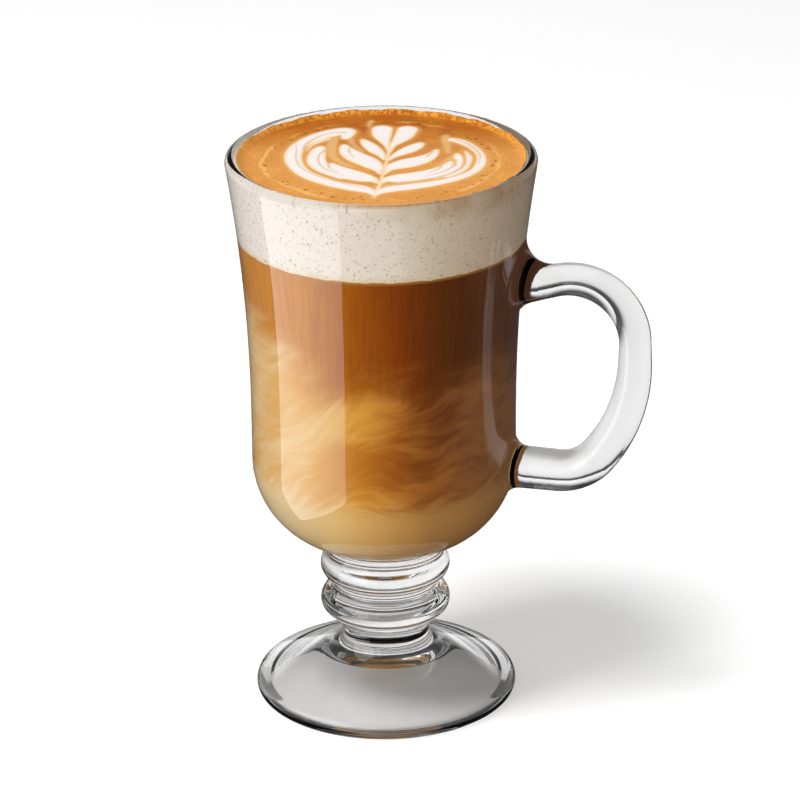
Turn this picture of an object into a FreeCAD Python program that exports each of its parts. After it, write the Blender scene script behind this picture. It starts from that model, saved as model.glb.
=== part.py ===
"""A footed glass mug of layered cappuccino.

The mug is one piece of pressed glass: a disc foot, a stem with two round beads, a bowl that
flares to a rounded lip, and a side handle. The drink fills the bowl in layers, from the floor
up: milk, a marbled band with a wavy top, coffee, foam, and a thin crema.

Millimetres. The origin is on the bowl's axis in the plane that the foot stands on, with +Z up
and the handle along +X.
"""

import FreeCAD
import Part
import Sketcher

import math
import os

Vector = FreeCAD.Vector

SIZES = {
    # bowl
    "height": 145.0,
    "rim_radius": 38.6,
    "lip_round": 1.5,
    "wall": 3.2,
    "wall_radius": 33.35,
    "flare_from": 78.0,
    "bowl_round": 23.1,
    "bowl_round_from": 65.0,
    "bowl_floor": 47.9,
    # stem
    "bead_radius": 16.5,
    "bead_round": 3.6,
    "lower_bead": 25.4,
    "upper_bead": 35.2,
    "notch_round": 3.4,
    "waist_round": 1.6,
    "neck_round": 2.0,
    "neck_radius": 11.2,
    # foot
    "foot_radius": 33.3,
    "foot_edge": 2.5,
    "foot_slope": 21.5,
    "foot_round": 5.5,
    "rest_radius": 28.5,
    "punt": 7.5,
    # handle
    "handle_reach": 64.4,
    "grip_top": 101.0,
    "grip_low": 96.0,
    "shoulder_round": 15.5,
    "shoulder_drop": 18.0,
    "heel_round": 13.0,
    "heel_reach": 45.0,
    "heel_level": 65.0,
    "grip_depth": 7.9,
    "grip_width": 10.0,
    "heel_depth": 10.4,
    "heel_width": 11.4,
    "root_depth": 8.0,
    "shoulder_blend": 6.5,
    "heel_blend": 4.0,
    # drink
    "crema_top": 143.4,
    "crema_from": 141.5,
    "foam_from": 124.1,
    "coffee_from": 101.7,
    "marble_from": 62.4,
    "marble_wave": 2.6,
}

LAYERS = ("milk_layer", "swirl_layer", "coffee_layer", "foam_layer", "crema")
ORIGIN = (-1, 1)
ACROSS = -1
UPRIGHT = -2
START = 1
END = 2
CENTRE = 3


def make_sheet(document):
    """The driving dimensions, one aliased cell each."""
    sheet = document.addObject("Spreadsheet::Sheet", "size")
    for row, (name, value) in enumerate(SIZES.items(), start=1):
        sheet.set(f"A{row}", name)
        sheet.set(f"B{row}", str(value))
        sheet.setAlias(f"B{row}", name)
    document.recompute()
    return sheet


# ---- sketching --------------------------------------------------------------------------

def new_sketch(body, name, plane_role, offset=None):
    """A sketch on one of the body's own origin planes, moved along its normal by a cell."""
    sketch = body.newObject("Sketcher::SketchObject", name)
    plane = next(item for item in body.Origin.OriginFeatures if item.Role == plane_role)
    sketch.AttachmentSupport = (plane, [""])
    sketch.MapMode = "FlatFace"
    if offset:
        sketch.setExpression("AttachmentOffset.Base.z", offset)
    return sketch


def point_at(centre, radius, degrees):
    """The point of a circle at an angle from its own +X."""
    angle = math.radians(degrees)
    return centre + Vector(radius * math.cos(angle), radius * math.sin(angle), 0)


def line(sketch, start, end):
    return sketch.addGeometry(Part.LineSegment(start, end), False)


def arc(sketch, centre, radius, from_degrees, to_degrees):
    """An arc drawn anticlockwise from one angle to the other."""
    circle = Part.Circle(centre, Vector(0, 0, 1), radius)
    curve = Part.ArcOfCircle(circle, math.radians(from_degrees), math.radians(to_degrees))
    return sketch.addGeometry(curve, False)


def hold(sketch, kind, *places):
    """A constraint with no size, such as Tangent, Coincident or Vertical."""
    sketch.addConstraint(Sketcher.Constraint(kind, *places))


def bind(sketch, kind, name, cells, *places):
    """A constraint whose size is an expression in the sheet's cells."""
    value = sketch.Document.getObject("size").evalExpression(cells)
    index = sketch.addConstraint(Sketcher.Constraint(kind, *places, value))
    sketch.renameConstraint(index, name)
    sketch.setExpression(f"Constraints.{name}", cells)


def direction(start, end):
    """The angle in degrees from one point to another."""
    return math.degrees(math.atan2(end.y - start.y, end.x - start.x))


def touching(first, first_radius, second, second_radius, side):
    """The centre that lies at two distances from two points, on the chosen side of them."""
    gap = second - first
    along = (gap.Length ** 2 + first_radius ** 2 - second_radius ** 2) / (2 * gap.Length)
    aside = math.sqrt(first_radius ** 2 - along ** 2)
    forward = Vector(gap).normalize()
    return first + forward * along + Vector(forward.y, -forward.x, 0) * aside * side


# ---- the mug ----------------------------------------------------------------------------

def outside_sketch(body, size):
    """Half the mug's outside: domed underside, foot, beaded stem, bowl and lip."""
    sketch = new_sketch(body, "outside", "YZ_Plane")
    edge = Vector(size.foot_radius - size.foot_edge, size.foot_edge, 0)
    foot_tilt = 90 - size.foot_slope
    foot_out = point_at(edge, size.foot_edge, foot_tilt)
    foot_rise = math.tan(math.radians(size.foot_slope))
    foot_in_radius = size.neck_radius + size.foot_round
    under_round = foot_out.y + (foot_out.x - foot_in_radius) * foot_rise
    neck_low = under_round + size.foot_round / math.cos(math.radians(size.foot_slope))
    foot_centre = Vector(foot_in_radius, neck_low, 0)
    bead_middle = size.bead_radius - size.bead_round
    low_bead = Vector(bead_middle, size.lower_bead, 0)
    high_bead = Vector(bead_middle, size.upper_bead, 0)
    neck_centre_radius = size.neck_radius + size.neck_round
    neck_drop = math.sqrt(
        (size.bead_round + size.neck_round) ** 2 - (neck_centre_radius - bead_middle) ** 2)
    neck_centre = Vector(neck_centre_radius, size.lower_bead - neck_drop, 0)
    waist_reach = size.bead_round + size.waist_round
    waist = touching(low_bead, waist_reach, high_bead, waist_reach, 1)
    bowl = Vector(size.wall_radius - size.bowl_round, size.bowl_round_from, 0)
    notch = touching(high_bead, size.bead_round + size.notch_round,
                     bowl, size.bowl_round + size.notch_round, 1)
    lip = Vector(size.rim_radius - size.lip_round, size.height - size.lip_round, 0)
    flare = flare_centre(size.wall_radius, size.flare_from, lip, size.lip_round)
    dome_round = (size.rest_radius ** 2 + size.punt ** 2) / (2 * size.punt)
    dome = Vector(0, size.punt - dome_round, 0)
    top = Vector(0, size.height, 0)
    under = Vector(0, size.punt, 0)
    rest = Vector(size.rest_radius, 0, 0)

    underside = arc(sketch, dome, dome_round, direction(dome, rest), 90)
    ring = line(sketch, rest, Vector(edge.x, 0, 0))
    foot_edge = arc(sketch, edge, size.foot_edge, -90, foot_tilt)
    foot_top = line(sketch, foot_out, point_at(foot_centre, size.foot_round, 180 + foot_tilt))
    foot_blend = arc(sketch, foot_centre, size.foot_round, 180, 180 + foot_tilt)
    neck = line(sketch, Vector(size.neck_radius, neck_low, 0),
                Vector(size.neck_radius, neck_centre.y, 0))
    neck_blend = arc(sketch, neck_centre, size.neck_round, direction(neck_centre, low_bead), 180)
    bead_below = arc(sketch, low_bead, size.bead_round,
                     direction(low_bead, neck_centre), direction(low_bead, waist))
    waist_blend = arc(sketch, waist, size.waist_round,
                      direction(waist, high_bead), direction(waist, low_bead))
    bead_above = arc(sketch, high_bead, size.bead_round,
                     direction(high_bead, waist), direction(high_bead, notch))
    notch_blend = arc(sketch, notch, size.notch_round,
                      direction(notch, bowl), direction(notch, high_bead))
    bowl_base = arc(sketch, bowl, size.bowl_round, direction(bowl, notch), 0)
    wall = line(sketch, Vector(size.wall_radius, size.bowl_round_from, 0),
                Vector(size.wall_radius, size.flare_from, 0))
    flare_round = flare.x - size.wall_radius
    flaring = arc(sketch, flare, flare_round, direction(flare, lip), 180)
    lip_edge = arc(sketch, lip, size.lip_round, direction(lip, flare), 90)
    lid = line(sketch, Vector(lip.x, size.height, 0), top)
    axis = line(sketch, top, under)

    hold(sketch, "Coincident", underside, START, ring, START)
    hold(sketch, "Tangent", ring, END, foot_edge, START)
    hold(sketch, "Tangent", foot_edge, END, foot_top, START)
    hold(sketch, "Tangent", foot_top, END, foot_blend, END)
    hold(sketch, "Tangent", foot_blend, START, neck, START)
    hold(sketch, "Tangent", neck, END, neck_blend, END)
    hold(sketch, "Tangent", neck_blend, START, bead_below, START)
    hold(sketch, "Tangent", bead_below, END, waist_blend, END)
    hold(sketch, "Tangent", waist_blend, START, bead_above, START)
    hold(sketch, "Tangent", bead_above, END, notch_blend, END)
    hold(sketch, "Tangent", notch_blend, START, bowl_base, START)
    hold(sketch, "Tangent", bowl_base, END, wall, START)
    hold(sketch, "Tangent", wall, END, flaring, END)
    hold(sketch, "Tangent", flaring, START, lip_edge, START)
    hold(sketch, "Tangent", lip_edge, END, lid, START)
    hold(sketch, "Coincident", lid, END, axis, START)
    hold(sketch, "Coincident", axis, END, underside, END)
    hold(sketch, "PointOnObject", axis, START, UPRIGHT)
    hold(sketch, "PointOnObject", axis, END, UPRIGHT)
    hold(sketch, "PointOnObject", underside, CENTRE, UPRIGHT)
    hold(sketch, "PointOnObject", ring, START, ACROSS)
    hold(sketch, "Horizontal", ring)
    hold(sketch, "Vertical", neck)
    hold(sketch, "Vertical", wall)
    hold(sketch, "Horizontal", lid)

    bind(sketch, "DistanceY", "punt", "size.punt", *ORIGIN, axis, END)
    bind(sketch, "DistanceX", "rest", "size.rest_radius", *ORIGIN, ring, START)
    bind(sketch, "DistanceX", "foot_out", "size.foot_radius - size.foot_edge",
         *ORIGIN, foot_edge, CENTRE)
    bind(sketch, "Radius", "foot_edge", "size.foot_edge", foot_edge)
    bind(sketch, "Angle", "foot_slope", "180 - size.foot_slope", foot_top)
    bind(sketch, "DistanceX", "neck", "size.neck_radius", *ORIGIN, neck, START)
    bind(sketch, "Radius", "foot_blend", "size.foot_round", foot_blend)
    bind(sketch, "Radius", "neck_blend", "size.neck_round", neck_blend)
    bind(sketch, "Radius", "bead_below", "size.bead_round", bead_below)
    bind(sketch, "DistanceX", "bead_below_out", "size.bead_radius - size.bead_round",
         *ORIGIN, bead_below, CENTRE)
    bind(sketch, "DistanceY", "bead_below_up", "size.lower_bead", *ORIGIN, bead_below, CENTRE)
    bind(sketch, "Radius", "waist_blend", "size.waist_round", waist_blend)
    bind(sketch, "Radius", "bead_above", "size.bead_round", bead_above)
    bind(sketch, "DistanceX", "bead_above_out", "size.bead_radius - size.bead_round",
         *ORIGIN, bead_above, CENTRE)
    bind(sketch, "DistanceY", "bead_above_up", "size.upper_bead", *ORIGIN, bead_above, CENTRE)
    bind(sketch, "Radius", "notch_blend", "size.notch_round", notch_blend)
    bind(sketch, "Radius", "bowl_base", "size.bowl_round", bowl_base)
    bind(sketch, "DistanceX", "wall", "size.wall_radius", *ORIGIN, wall, START)
    bind(sketch, "DistanceY", "wall_low", "size.bowl_round_from", *ORIGIN, wall, START)
    bind(sketch, "DistanceY", "wall_high", "size.flare_from", *ORIGIN, wall, END)
    bind(sketch, "Radius", "lip", "size.lip_round", lip_edge)
    bind(sketch, "DistanceX", "lip_out", "size.rim_radius - size.lip_round",
         *ORIGIN, lip_edge, CENTRE)
    bind(sketch, "DistanceY", "height", "size.height", *ORIGIN, axis, START)
    return sketch


def flare_centre(wall_radius, flare_from, lip, lip_reach):
    """The centre of the arc that leaves an upright wall and runs on to touch the lip's arc.

    lip_reach is the lip's radius, negative where the flare's arc touches it from inside.
    """
    out = lip.x - wall_radius
    up = lip.y - flare_from
    flare_round = (out ** 2 + up ** 2 - lip_reach ** 2) / (2 * (out + lip_reach))
    return Vector(wall_radius + flare_round, flare_from, 0)


def cavity_sketch(body, size):
    """Half the bowl's hollow: floor, rounded corner, wall, flare and the inner lip."""
    sketch = new_sketch(body, "hollow", "YZ_Plane")
    inner_radius = size.wall_radius - size.wall
    corner_round = size.bowl_round_from - size.bowl_floor
    corner = Vector(inner_radius - corner_round, size.bowl_round_from, 0)
    lip = Vector(size.rim_radius - size.wall + size.lip_round, size.height - size.lip_round, 0)
    flare = flare_centre(inner_radius, size.flare_from, lip, -size.lip_round)
    middle = Vector(0, size.bowl_floor, 0)
    top = Vector(0, size.height, 0)

    floor = line(sketch, middle, Vector(corner.x, size.bowl_floor, 0))
    rounding = arc(sketch, corner, corner_round, -90, 0)
    wall = line(sketch, Vector(inner_radius, size.bowl_round_from, 0),
                Vector(inner_radius, size.flare_from, 0))
    flaring = arc(sketch, flare, flare.x - inner_radius, direction(flare, lip), 180)
    lip_edge = arc(sketch, lip, size.lip_round, 90, direction(flare, lip))
    lid = line(sketch, Vector(lip.x, size.height, 0), top)
    axis = line(sketch, top, middle)

    hold(sketch, "Tangent", floor, END, rounding, START)
    hold(sketch, "Tangent", rounding, END, wall, START)
    hold(sketch, "Tangent", wall, END, flaring, END)
    hold(sketch, "Tangent", flaring, START, lip_edge, END)
    hold(sketch, "Tangent", lip_edge, START, lid, START)
    hold(sketch, "Coincident", lid, END, axis, START)
    hold(sketch, "Coincident", axis, END, floor, START)
    hold(sketch, "PointOnObject", axis, START, UPRIGHT)
    hold(sketch, "PointOnObject", axis, END, UPRIGHT)
    hold(sketch, "Horizontal", floor)
    hold(sketch, "Vertical", wall)
    hold(sketch, "Horizontal", lid)

    bind(sketch, "DistanceY", "floor", "size.bowl_floor", *ORIGIN, axis, END)
    bind(sketch, "DistanceX", "wall", "size.wall_radius - size.wall", *ORIGIN, wall, START)
    bind(sketch, "DistanceY", "wall_low", "size.bowl_round_from", *ORIGIN, wall, START)
    bind(sketch, "DistanceY", "wall_high", "size.flare_from", *ORIGIN, wall, END)
    bind(sketch, "Radius", "lip", "size.lip_round", lip_edge)
    bind(sketch, "DistanceX", "lip_out", "size.rim_radius - size.wall + size.lip_round",
         *ORIGIN, lip_edge, CENTRE)
    bind(sketch, "DistanceY", "height", "size.height", *ORIGIN, axis, START)
    return sketch


def revolve(body, kind, name, sketch):
    """A full turn of a sketch about the mug's axis: Revolution adds, Groove cuts."""
    turned = body.newObject(kind, name)
    turned.Profile = sketch
    turned.ReferenceAxis = (sketch, ["V_Axis"])
    turned.Angle = 360
    return turned


def handle_paths(body, size):
    """The handle's middle line, from its upright grip up and over, and down and round."""
    shoulder_sketch = new_sketch(body, "shoulder_path", "XZ_Plane")
    shoulder = Vector(size.handle_reach - size.shoulder_round, size.grip_top, 0)
    last_angle = 90 + size.shoulder_drop
    shoulder_end = point_at(shoulder, size.shoulder_round, last_angle)
    run = (shoulder_end.x - size.root_depth) / math.cos(math.radians(size.shoulder_drop))
    root = point_at(shoulder_end, run, last_angle + 90)
    over = arc(shoulder_sketch, shoulder, size.shoulder_round, 0, last_angle)
    lean = line(shoulder_sketch, shoulder_end, root)
    hold(shoulder_sketch, "Tangent", over, END, lean, START)
    bind(shoulder_sketch, "Radius", "round", "size.shoulder_round", over)
    bind(shoulder_sketch, "DistanceX", "out", "size.handle_reach", *ORIGIN, over, START)
    bind(shoulder_sketch, "DistanceY", "up", "size.grip_top", *ORIGIN, over, START)
    bind(shoulder_sketch, "DistanceY", "level", "size.grip_top", *ORIGIN, over, CENTRE)
    bind(shoulder_sketch, "Angle", "drop", "180 + size.shoulder_drop", lean)
    bind(shoulder_sketch, "DistanceX", "root", "size.root_depth", *ORIGIN, lean, END)

    heel_sketch = new_sketch(body, "heel_path", "XZ_Plane")
    heel = Vector(size.heel_reach, size.heel_level + size.heel_round, 0)
    out = size.handle_reach - size.heel_reach
    up = size.grip_low - size.heel_level
    side_round = (out ** 2 + up ** 2 - 2 * up * size.heel_round) / (2 * (out - size.heel_round))
    side = Vector(size.handle_reach - side_round, size.grip_low, 0)
    turn = direction(side, heel)
    grip_high = Vector(size.handle_reach, size.grip_top, 0)
    grip_end = Vector(size.handle_reach, size.grip_low, 0)
    heel_end = Vector(size.heel_reach, size.heel_level, 0)
    grip = line(heel_sketch, grip_high, grip_end)
    bulge = arc(heel_sketch, side, side_round, turn, 0)
    under = arc(heel_sketch, heel, size.heel_round, -90, turn)
    arm = line(heel_sketch, heel_end, Vector(size.root_depth, size.heel_level, 0))
    hold(heel_sketch, "Tangent", grip, END, bulge, END)
    hold(heel_sketch, "Tangent", bulge, START, under, END)
    hold(heel_sketch, "Tangent", under, START, arm, START)
    hold(heel_sketch, "Vertical", grip)
    hold(heel_sketch, "Horizontal", arm)
    bind(heel_sketch, "DistanceX", "reach", "size.handle_reach", *ORIGIN, grip, START)
    bind(heel_sketch, "DistanceY", "grip_top", "size.grip_top", *ORIGIN, grip, START)
    bind(heel_sketch, "DistanceY", "grip_low", "size.grip_low", *ORIGIN, grip, END)
    bind(heel_sketch, "Radius", "heel", "size.heel_round", under)
    bind(heel_sketch, "DistanceX", "heel_reach", "size.heel_reach", *ORIGIN, arm, START)
    bind(heel_sketch, "DistanceY", "heel_level", "size.heel_level", *ORIGIN, arm, START)
    bind(heel_sketch, "DistanceX", "root", "size.root_depth", *ORIGIN, arm, END)
    return shoulder_sketch, heel_sketch


def handle_section(body, size, name, plane_role, offset, centre, depth, width):
    """An oval across the handle: depth in the handle's own plane, width across it.

    The centre and the two sizes are names in the sheet. On the XY plane the oval's depth lies
    along X, and on the YZ plane it lies along Z.
    """
    sketch = new_sketch(body, name, plane_role, offset)
    level = getattr(size, centre)
    half_depth = getattr(size, depth) / 2
    half_width = getattr(size, width) / 2
    flat = plane_role == "XY_Plane"
    middle = Vector(level, 0, 0) if flat else Vector(0, level, 0)
    broad_end = middle + (Vector(0, half_width, 0) if flat else Vector(half_width, 0, 0))
    thin_end = middle + (Vector(half_depth, 0, 0) if flat else Vector(0, half_depth, 0))
    oval = sketch.addGeometry(Part.Ellipse(broad_end, thin_end, middle), False)
    sketch.exposeInternalGeometry(oval)
    broad = oval + 1
    thin = oval + 2
    along, across = ("DistanceX", "DistanceY") if flat else ("DistanceY", "DistanceX")
    hold(sketch, "PointOnObject", oval, CENTRE, ACROSS if flat else UPRIGHT)
    bind(sketch, along, "place", f"size.{centre}", *ORIGIN, oval, CENTRE)
    hold(sketch, "Vertical" if flat else "Horizontal", broad)
    bind(sketch, "Distance", "width", f"size.{width}", broad)
    bind(sketch, "Distance", "depth", f"size.{depth}", thin)
    return sketch


def pipe(body, name, section, path, more_sections=()):
    """A bar of the handle, swept along its path and through any further sections."""
    bar = body.newObject("PartDesign::AdditivePipe", name)
    bar.Profile = section
    bar.Spine = (path, [])
    bar.Mode = "Standard"
    if more_sections:
        bar.Transformation = "Multisection"
        bar.Sections = [(item, [""]) for item in more_sections]
    return bar


def root_edges(shape, wall_radius, low, high):
    """The names of the edges where the handle meets the wall, between two levels."""
    names = []
    for number, edge in enumerate(shape.Edges, start=1):
        if edge.Degenerated or not isinstance(edge.Curve, Part.BSplineCurve):
            continue
        ends = [vertex.Point for vertex in edge.Vertexes]
        near_wall = all(abs(math.hypot(end.x, end.y) - wall_radius) < 2 for end in ends)
        if near_wall and all(low < end.z < high for end in ends):
            names.append(f"Edge{number}")
    return names


def blend_root(document, body, name, base, radius, edges):
    """A fillet round one root of the handle."""
    if not edges:
        raise RuntimeError(f"{name} found no edges")
    blend = body.newObject("PartDesign::Fillet", name)
    blend.Base = (base, edges)
    blend.setExpression("Radius", radius)
    document.recompute()
    return blend


def make_glass(document, size):
    """The mug: turned outside, handle blended into it, then the hollow cut out."""
    body = document.addObject("PartDesign::Body", "glass")
    body.Label = "glass"
    revolve(body, "PartDesign::Revolution", "blank", outside_sketch(body, size))
    shoulder_path, heel_path = handle_paths(body, size)
    grip = handle_section(body, size, "grip_section", "XY_Plane", "size.grip_top",
                          "handle_reach", "grip_depth", "grip_width")
    heel = handle_section(body, size, "heel_section", "YZ_Plane", "size.heel_reach",
                          "heel_level", "heel_depth", "heel_width")
    root = handle_section(body, size, "root_section", "YZ_Plane", "size.root_depth",
                          "heel_level", "heel_depth", "heel_width")
    document.recompute()
    pipe(body, "shoulder", grip, shoulder_path)
    document.recompute()
    handle = pipe(body, "heel", grip, heel_path, (heel, root))
    document.recompute()
    middle = (size.grip_low + size.heel_level) / 2
    high_edges = root_edges(handle.Shape, size.wall_radius, middle, size.height)
    high_blend = blend_root(document, body, "shoulder_blend", handle, "size.shoulder_blend",
                            high_edges)
    low_edges = root_edges(high_blend.Shape, size.wall_radius, size.bowl_floor, middle)
    blend_root(document, body, "heel_blend", high_blend, "size.heel_blend", low_edges)
    revolve(body, "PartDesign::Groove", "cavity", cavity_sketch(body, size))
    document.recompute()
    return body


# ---- the drink --------------------------------------------------------------------------

def make_filling(document, size):
    """The whole of the bowl's hollow as one solid, which the layers are cut from."""
    body = document.addObject("PartDesign::Body", "filling")
    revolve(body, "PartDesign::Revolution", "fill", cavity_sketch(body, size))
    document.recompute()
    return body


def slab(document, name, low, high):
    """A disc wider than the bowl between two levels, given as expressions in the sheet."""
    disc = document.addObject("Part::Cylinder", name)
    disc.setExpression("Radius", "size.rim_radius + size.wall")
    disc.setExpression("Height", f"({high}) - ({low})")
    disc.setExpression("Placement.Base.z", low)
    return disc


def combine(document, kind, name, base, tool):
    """A boolean of two objects: Part::Common or Part::Cut."""
    made = document.addObject(kind, name)
    made.Label = name
    made.Base = base
    made.Tool = tool
    return made


def wave_height(across, forward, size):
    """The level of the marbled band's top over a point, both lengths in wall radii."""
    ripple = 0.55 * math.sin(2.6 * across + 0.8) + 0.45 * math.cos(3.4 * forward - 1.9 * across)
    tilt = -0.35 * across
    return size.coffee_from + size.marble_wave * (ripple + tilt)


def make_wave(document, size):
    """A block that fills all below the marbled band's wavy top."""
    reach = size.rim_radius + size.wall
    steps = 8
    rows = []
    for row in range(steps + 1):
        forward = reach * (2 * row / steps - 1)
        level = []
        for column in range(steps + 1):
            across = reach * (2 * column / steps - 1)
            height = wave_height(across / size.wall_radius, forward / size.wall_radius, size)
            level.append(Vector(across, forward, height))
        rows.append(level)
    surface = Part.BSplineSurface()
    surface.interpolate(rows)
    wave = document.addObject("Part::Feature", "wave")
    wave.Shape = surface.toShape().extrude(Vector(0, 0, size.bowl_floor - size.coffee_from))
    wave.Placement = FreeCAD.Placement()
    return wave


def make_drink(document, size):
    """The five layers, each a slice of the filling, with the wavy surface between two."""
    filling = make_filling(document, size)
    wave = make_wave(document, size)
    over_wave = "size.coffee_from + 3 * size.marble_wave"
    under_wave = "size.coffee_from - 3 * size.marble_wave"
    spans = {
        "milk_layer": ("size.bowl_floor", "size.marble_from"),
        "swirl_layer": ("size.marble_from", over_wave),
        "coffee_layer": (under_wave, "size.foam_from"),
        "foam_layer": ("size.foam_from", "size.crema_from"),
        "crema": ("size.crema_from", "size.crema_top"),
    }
    layers = []
    for name in LAYERS:
        low, high = spans[name]
        disc = slab(document, f"{name}_span", low, high)
        if name == "swirl_layer":
            slice_of_it = combine(document, "Part::Common", "swirl_slice", filling, disc)
            layer = combine(document, "Part::Common", name, slice_of_it, wave)
        elif name == "coffee_layer":
            slice_of_it = combine(document, "Part::Common", "coffee_slice", filling, disc)
            layer = combine(document, "Part::Cut", name, slice_of_it, wave)
        else:
            layer = combine(document, "Part::Common", name, filling, disc)
        layer.Placement = FreeCAD.Placement()
        layers.append(layer)
    document.recompute()
    return layers


# ---- checks and files -------------------------------------------------------------------

def check(document, parts):
    """Stop before anything is written if an object failed or a part isn't one whole solid."""
    for item in document.Objects:
        if "Invalid" in item.State or "Error" in item.State:
            raise RuntimeError(f"{item.Name} failed: {item.State}")
    for part in parts:
        shape = part.Shape
        if shape.isNull() or not shape.isValid() or len(shape.Solids) != 1:
            raise RuntimeError(f"{part.Label} is not one valid solid")
        print(f"{part.Label}: {shape.Volume / 1000:.2f} cm3")


def main():
    document = FreeCAD.newDocument("cappuccino_mug")
    size = make_sheet(document)
    parts = [make_glass(document, size)] + make_drink(document, size)
    check(document, parts)
    os.makedirs("parts", exist_ok=True)
    for part in parts:
        part.Shape.exportStep(os.path.join("parts", f"{part.Label}.step"))


main()
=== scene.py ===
"""A footed glass mug of layered cappuccino: milk, marbled coffee, coffee, foam and crema."""

import math

import bpy
import numpy as np
from mathutils import Matrix, Vector


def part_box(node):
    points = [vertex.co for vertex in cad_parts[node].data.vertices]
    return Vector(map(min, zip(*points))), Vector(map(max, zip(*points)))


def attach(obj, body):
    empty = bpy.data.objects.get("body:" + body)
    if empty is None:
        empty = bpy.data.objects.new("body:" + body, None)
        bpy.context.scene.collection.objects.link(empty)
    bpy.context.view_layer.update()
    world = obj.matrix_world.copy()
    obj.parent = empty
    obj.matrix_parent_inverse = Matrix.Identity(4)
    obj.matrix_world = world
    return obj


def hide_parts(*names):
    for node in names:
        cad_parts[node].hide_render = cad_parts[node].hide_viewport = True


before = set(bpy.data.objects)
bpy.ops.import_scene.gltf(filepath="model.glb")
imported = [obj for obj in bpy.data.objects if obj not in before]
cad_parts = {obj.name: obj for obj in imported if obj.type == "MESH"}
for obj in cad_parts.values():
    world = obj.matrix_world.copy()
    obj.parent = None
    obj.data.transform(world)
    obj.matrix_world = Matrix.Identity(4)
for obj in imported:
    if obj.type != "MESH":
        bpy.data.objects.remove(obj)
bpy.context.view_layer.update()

MM = 0.001

# ---- sizes of the bowl's hollow, as the mug was made --------------------------------------

HEIGHT = 145.0 * MM
RIM_RADIUS = 38.6 * MM
LIP_ROUND = 1.5 * MM
WALL = 3.2 * MM
WALL_RADIUS = 33.35 * MM
INNER_RADIUS = WALL_RADIUS - WALL
FLARE_FROM = 78.0 * MM
CORNER_TOP = 65.0 * MM
SEAT = 0.1 * MM                      # how far the drink reaches into the glass

BOWL_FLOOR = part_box("milk_layer")[0].z
MARBLE_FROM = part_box("swirl_layer")[0].z
FOAM_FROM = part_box("foam_layer")[0].z
CREMA_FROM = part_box("crema")[0].z
CREMA_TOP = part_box("crema")[1].z
COFFEE_FROM = 101.7 * MM
MARBLE_WAVE = 2.6 * MM

TURNS = 256                          # points round each layer's wall
DISC_RINGS = 10                      # rings from the axis to the wall
WALL_TRIALS = 3                      # rounds of finding where a wavy surface meets the wall

# ---- the layers' own marks ----------------------------------------------------------------

GRADIENT_TURN = math.radians(15)         # the way across the mug that the side gradient runs, along which the drink's painted shade deepens away from the lit side
FADE_BELOW = 13 * MM                 # how far the coffee fades down into the marbled band
FADE_ABOVE = 4 * MM
FADE_BILLOW = 20 * MM                # how far the fade drifts up and down in all
FADE_WISPS = 12 * MM
FADE_TILT = 8 * MM                   # how much lower the coffee starts towards the side painted in shade
MILK_DRIFT = 9 * MM
CREMA_CELLS = 230                    # cells across the crema
CREMA_CLIMB = 1.5 * MM               # the froth's rise where it clings to the glass
CREMA_REACH = 2.2 * MM               # how far from the glass it starts to rise
LEAF_RAISE = 0.1 * MM
TRAIL_RADIUS = 29.3 * MM             # the broken pale trail round the leaf
PORE_RADIUS = 28.2 * MM              # the broken ring of dark pores inside it
TRAIL_SWAY = 6 * MM


def flare_round():
    """The radius of the hollow's long flaring arc, which ends inside the lip's rounding."""
    out = RIM_RADIUS - WALL + LIP_ROUND - INNER_RADIUS
    up = HEIGHT - LIP_ROUND - FLARE_FROM
    return (out ** 2 + up ** 2 - LIP_ROUND ** 2) / (2 * (out - LIP_ROUND))


FLARE_ROUND = flare_round()


def hollow_radius(level):
    """The hollow's radius at each height: rounded corner, upright wall, then the flare."""
    level = np.asarray(level, float)
    corner = CORNER_TOP - BOWL_FLOOR
    below = np.clip(CORNER_TOP - level, 0, corner)
    above = np.clip(level - FLARE_FROM, 0, None)
    in_corner = INNER_RADIUS - corner + np.sqrt(corner ** 2 - below ** 2)
    in_flare = INNER_RADIUS + FLARE_ROUND - np.sqrt(FLARE_ROUND ** 2 - above ** 2)
    return np.where(level < CORNER_TOP, in_corner, in_flare) + SEAT


def flat(level):
    """A level surface, as a function of the place over it."""
    return lambda x, y: np.full_like(x, level)


def marble_top(x, y):
    """The wavy surface between the marbled band and the coffee."""
    across = x / WALL_RADIUS
    forward = y / WALL_RADIUS
    ripple = 0.55 * np.sin(2.6 * across + 0.8) + 0.45 * np.cos(3.4 * forward - 1.9 * across)
    return COFFEE_FROM + MARBLE_WAVE * (ripple - 0.35 * across)


def foam_floor(x, y):
    """The foam's underside, a little ragged where it lies on the coffee."""
    angle = np.arctan2(y, x)
    ragged = 0.08 * np.sin(23 * angle + 1.1) + 0.05 * np.sin(41 * angle)
    return FOAM_FROM + (ragged + 0.04 * np.sin(67 * angle)) * MM


# ---- meshes ---------------------------------------------------------------------------

def place_piece(name, mesh, material, slot, *nodes):
    """Link a finished mesh, give it its finish, and let it stand for its CAD solids."""
    mesh.materials.append(material)
    piece = bpy.data.objects.new(name, mesh)
    bpy.context.scene.collection.objects.link(piece)
    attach(piece, "root")
    if nodes:
        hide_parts(*nodes)
    return piece


def smooth_mesh(name, points, faces, crease=40):
    mesh = bpy.data.meshes.new(name)
    mesh.from_pydata([tuple(point) for point in points], [], faces)
    mesh.validate()
    mesh.shade_smooth()
    mesh.set_sharp_from_angle(angle=math.radians(crease))
    return mesh


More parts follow.
